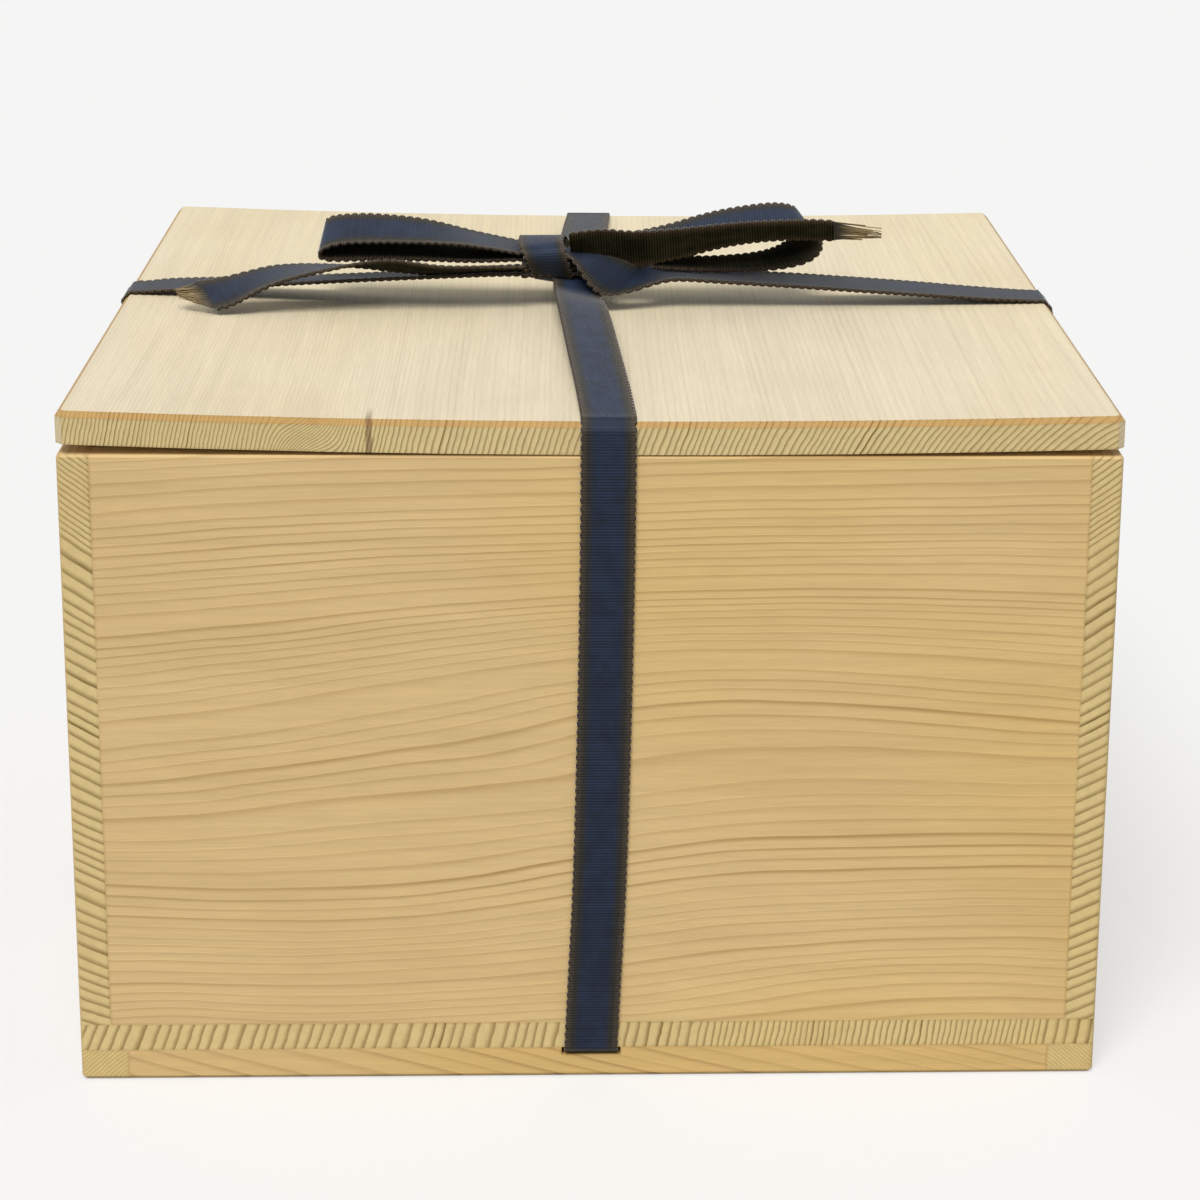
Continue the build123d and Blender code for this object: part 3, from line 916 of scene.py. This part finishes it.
front_wood = wood(
    "front_board_wood", "x", (-60, -260), 3.2, board_early, board_late,
    seed=3.0, sway=10.0, vary=7.0, slope=-0.04,
    hills=(
        (25, 116, 100, 30, 18),
        (-60, 50, 60, 20, -7),
        (-120, 20, 32, 12, 4),
        (80, 30, 70, 16, 7),
    ),
)
back_wood = wood(
    "back_board_wood", "x", (40, -220), 3.2, board_early, board_late,
    seed=8.0, sway=14.0, vary=6.0, slope=-0.03,
)
left_wood = wood(
    "left_board_wood", "y", (-16, 330), 3.0, board_early, board_late,
    seed=5.0, sway=5.0, vary=3.0, extra=(188, 212, 8),
)
right_wood = wood(
    "right_board_wood", "y", (16, 330), 3.0, board_early, board_late,
    seed=6.0, sway=5.0, vary=3.0, extra=(188, 212, 8),
)
bottom_wood = wood(
    "bottom_board_wood", "y", (-265, 70), 3.1, board_early, board_late,
    seed=7.0, sway=3.0, vary=2.6, extra=(300, 395, 26),
)
side_foot_wood = wood(
    "side_foot_wood", "y", (0, -140), 0.9, foot_early, foot_late,
    seed=2.0, sway=5.0, vary=2.0, end_line=0.45,
)
end_foot_wood = wood(
    "end_foot_wood", "x", (-160, -40), 3.4, foot_early, foot_late,
    seed=4.0, sway=6.0, vary=5.0, slope=0.26, line=0.6,
)
lid_wood = wood(
    "lid_board_wood", "y", (178, 121), 1.6, lid_early, lid_late,
    seed=1.0, sway=3.0, vary=3.0, line=0.22, end_line=0.95,
    end_tint=(0.92, 0.84, 0.57, 1), warm_tint=(1.0, 0.99, 0.95, 1), bevel_tint=(0.68, 0.5, 0.27, 1),
    extra=(240, 330, 26), swirl=(-75, 7, 184, -140, -128, 1.3), stain=(-58.7, 1.0, -140.5, 16),
)
batten_wood = wood(
    "lid_batten_wood", "x", (-60, 120), 3.0, lid_early, lid_late, seed=9.0, sway=5.0, vary=3.0,
)
peg_wood = wood(
    "peg_wood", "z", (40, 40), 1.6, foot_early, foot_late, seed=11.0, sway=3.0, vary=1.0,
)

wood_of = {
    front_wood: ["front_board"],
    back_wood: ["back_board"],
    left_wood: ["left_board"],
    right_wood: ["right_board"],
    bottom_wood: ["bottom_board"],
    side_foot_wood: ["foot_left", "foot_right"],
    end_foot_wood: ["foot_front", "foot_back"],
    lid_wood: ["lid_board"],
    batten_wood: ["lid_batten_front", "lid_batten_back", "lid_batten_left", "lid_batten_right"],
    peg_wood: ["corner_pegs_left", "corner_pegs_right", "foot_pegs", "lid_pegs"],
}
for material, names in wood_of.items():
    for name in names:
        piece = nodes[name]
        piece.data.materials.clear()
        piece.data.materials.append(material)


def floor():
    """A large pale floor under the object, which the camera sees near white, with its shadow."""
    mesh = bpy.data.meshes.new("floor")
    half = 8.0
    corners = [(-half, -half, 0), (half, -half, 0), (half, half, 0), (-half, half, 0)]
    mesh.from_pydata(corners, [], [(0, 1, 2, 3)])
    n = Nodes("floor_white")
    n.shader.inputs["Base Color"].default_value = (0.45, 0.45, 0.445, 1)
    n.shader.inputs["Roughness"].default_value = 1.0
    n.shader.inputs["Specular IOR Level"].default_value = 0.0
    path = n.add("LightPath").outputs
    seen = n.math("MAXIMUM", path["Is Camera Ray"], path["Is Glossy Ray"])
    seen = n.math("MAXIMUM", seen, path["Is Transmission Ray"])
    strength = n.math("MULTIPLY", seen, 0.46)
    glow = n.add("Emission", {"Color": (1.0, 1.0, 1.0, 1), "Strength": strength})
    both = n.add("AddShader", {0: n.shader.outputs[0], 1: glow.outputs[0]})
    n.feed(n.tree.nodes["Material Output"].inputs["Surface"], both.outputs[0])
    mesh.materials.append(n.material)
    made = bpy.data.objects.new("floor", mesh)
    bpy.context.scene.collection.objects.link(made)


def world():
    """Plain soft light from all round, shown near white to the camera."""
    made = bpy.data.worlds.new("studio")
    made.use_nodes = True
    tree = made.node_tree
    lit = tree.nodes["Background"]
    lit.inputs[0].default_value = (1.0, 1.0, 1.0, 1)
    lit.inputs[1].default_value = 0.35
    seen = tree.nodes.new("ShaderNodeBackground")
    seen.inputs[0].default_value = (0.91, 0.93, 0.94, 1)
    seen.inputs[1].default_value = 1.0
    path = tree.nodes.new("ShaderNodeLightPath").outputs
    mix = tree.nodes.new("ShaderNodeMixShader")
    either = path["Is Camera Ray"]
    for kind in ("Is Glossy Ray", "Is Transmission Ray"):
        more = tree.nodes.new("ShaderNodeMath")
        more.operation = "MAXIMUM"
        tree.links.new(either, more.inputs[0])
        tree.links.new(path[kind], more.inputs[1])
        either = more.outputs[0]
    tree.links.new(either, mix.inputs[0])
    tree.links.new(lit.outputs[0], mix.inputs[1])
    tree.links.new(seen.outputs[0], mix.inputs[2])
    tree.links.new(mix.outputs[0], tree.nodes["World Output"].inputs[0])
    bpy.context.scene.world = made


def sun(name, azimuth, elevation, spread, strength):
    """A soft, even light from one direction, in degrees left of the front and above the horizon."""
    data = bpy.data.lights.new(name, "SUN")
    data.angle = math.radians(spread)
    data.energy = strength
    made = bpy.data.objects.new(name, data)
    a, e = math.radians(azimuth), math.radians(elevation)
    toward = Vector((-math.sin(a) * math.cos(e), -math.cos(a) * math.cos(e), math.sin(e)))
    made.rotation_mode = "QUATERNION"
    made.rotation_quaternion = (-toward).to_track_quat("-Z", "Y")
    bpy.context.scene.collection.objects.link(made)


def camera():
    """The photograph's view."""
    yaw, pitch, roll = [math.radians(a) for a in (camera_yaw, camera_pitch, camera_roll)]
    ahead = Vector((math.sin(yaw), math.cos(yaw), 0))
    forward = ahead * math.cos(pitch) - up * math.sin(pitch)
    level = Vector((math.cos(yaw), -math.sin(yaw), 0))
    above = level.cross(forward)
    right = level * math.cos(roll) + above * math.sin(roll)
    top = above * math.cos(roll) - level * math.sin(roll)
    data = bpy.data.cameras.new("camera")
    data.lens = camera_lens
    data.sensor_width = 36.0
    data.shift_x, data.shift_y = camera_shift
    made = bpy.data.objects.new("camera", data)
    turn = Matrix((right, top, -forward)).transposed()
    made.matrix_world = Matrix.Translation(camera_place) @ turn.to_4x4()
    bpy.context.scene.collection.objects.link(made)
    bpy.context.scene.camera = made


floor()
world()
sun("key", azimuth=14, elevation=56, spread=32, strength=2.5)
camera()
bpy.context.scene.view_settings.view_transform = "Standard"
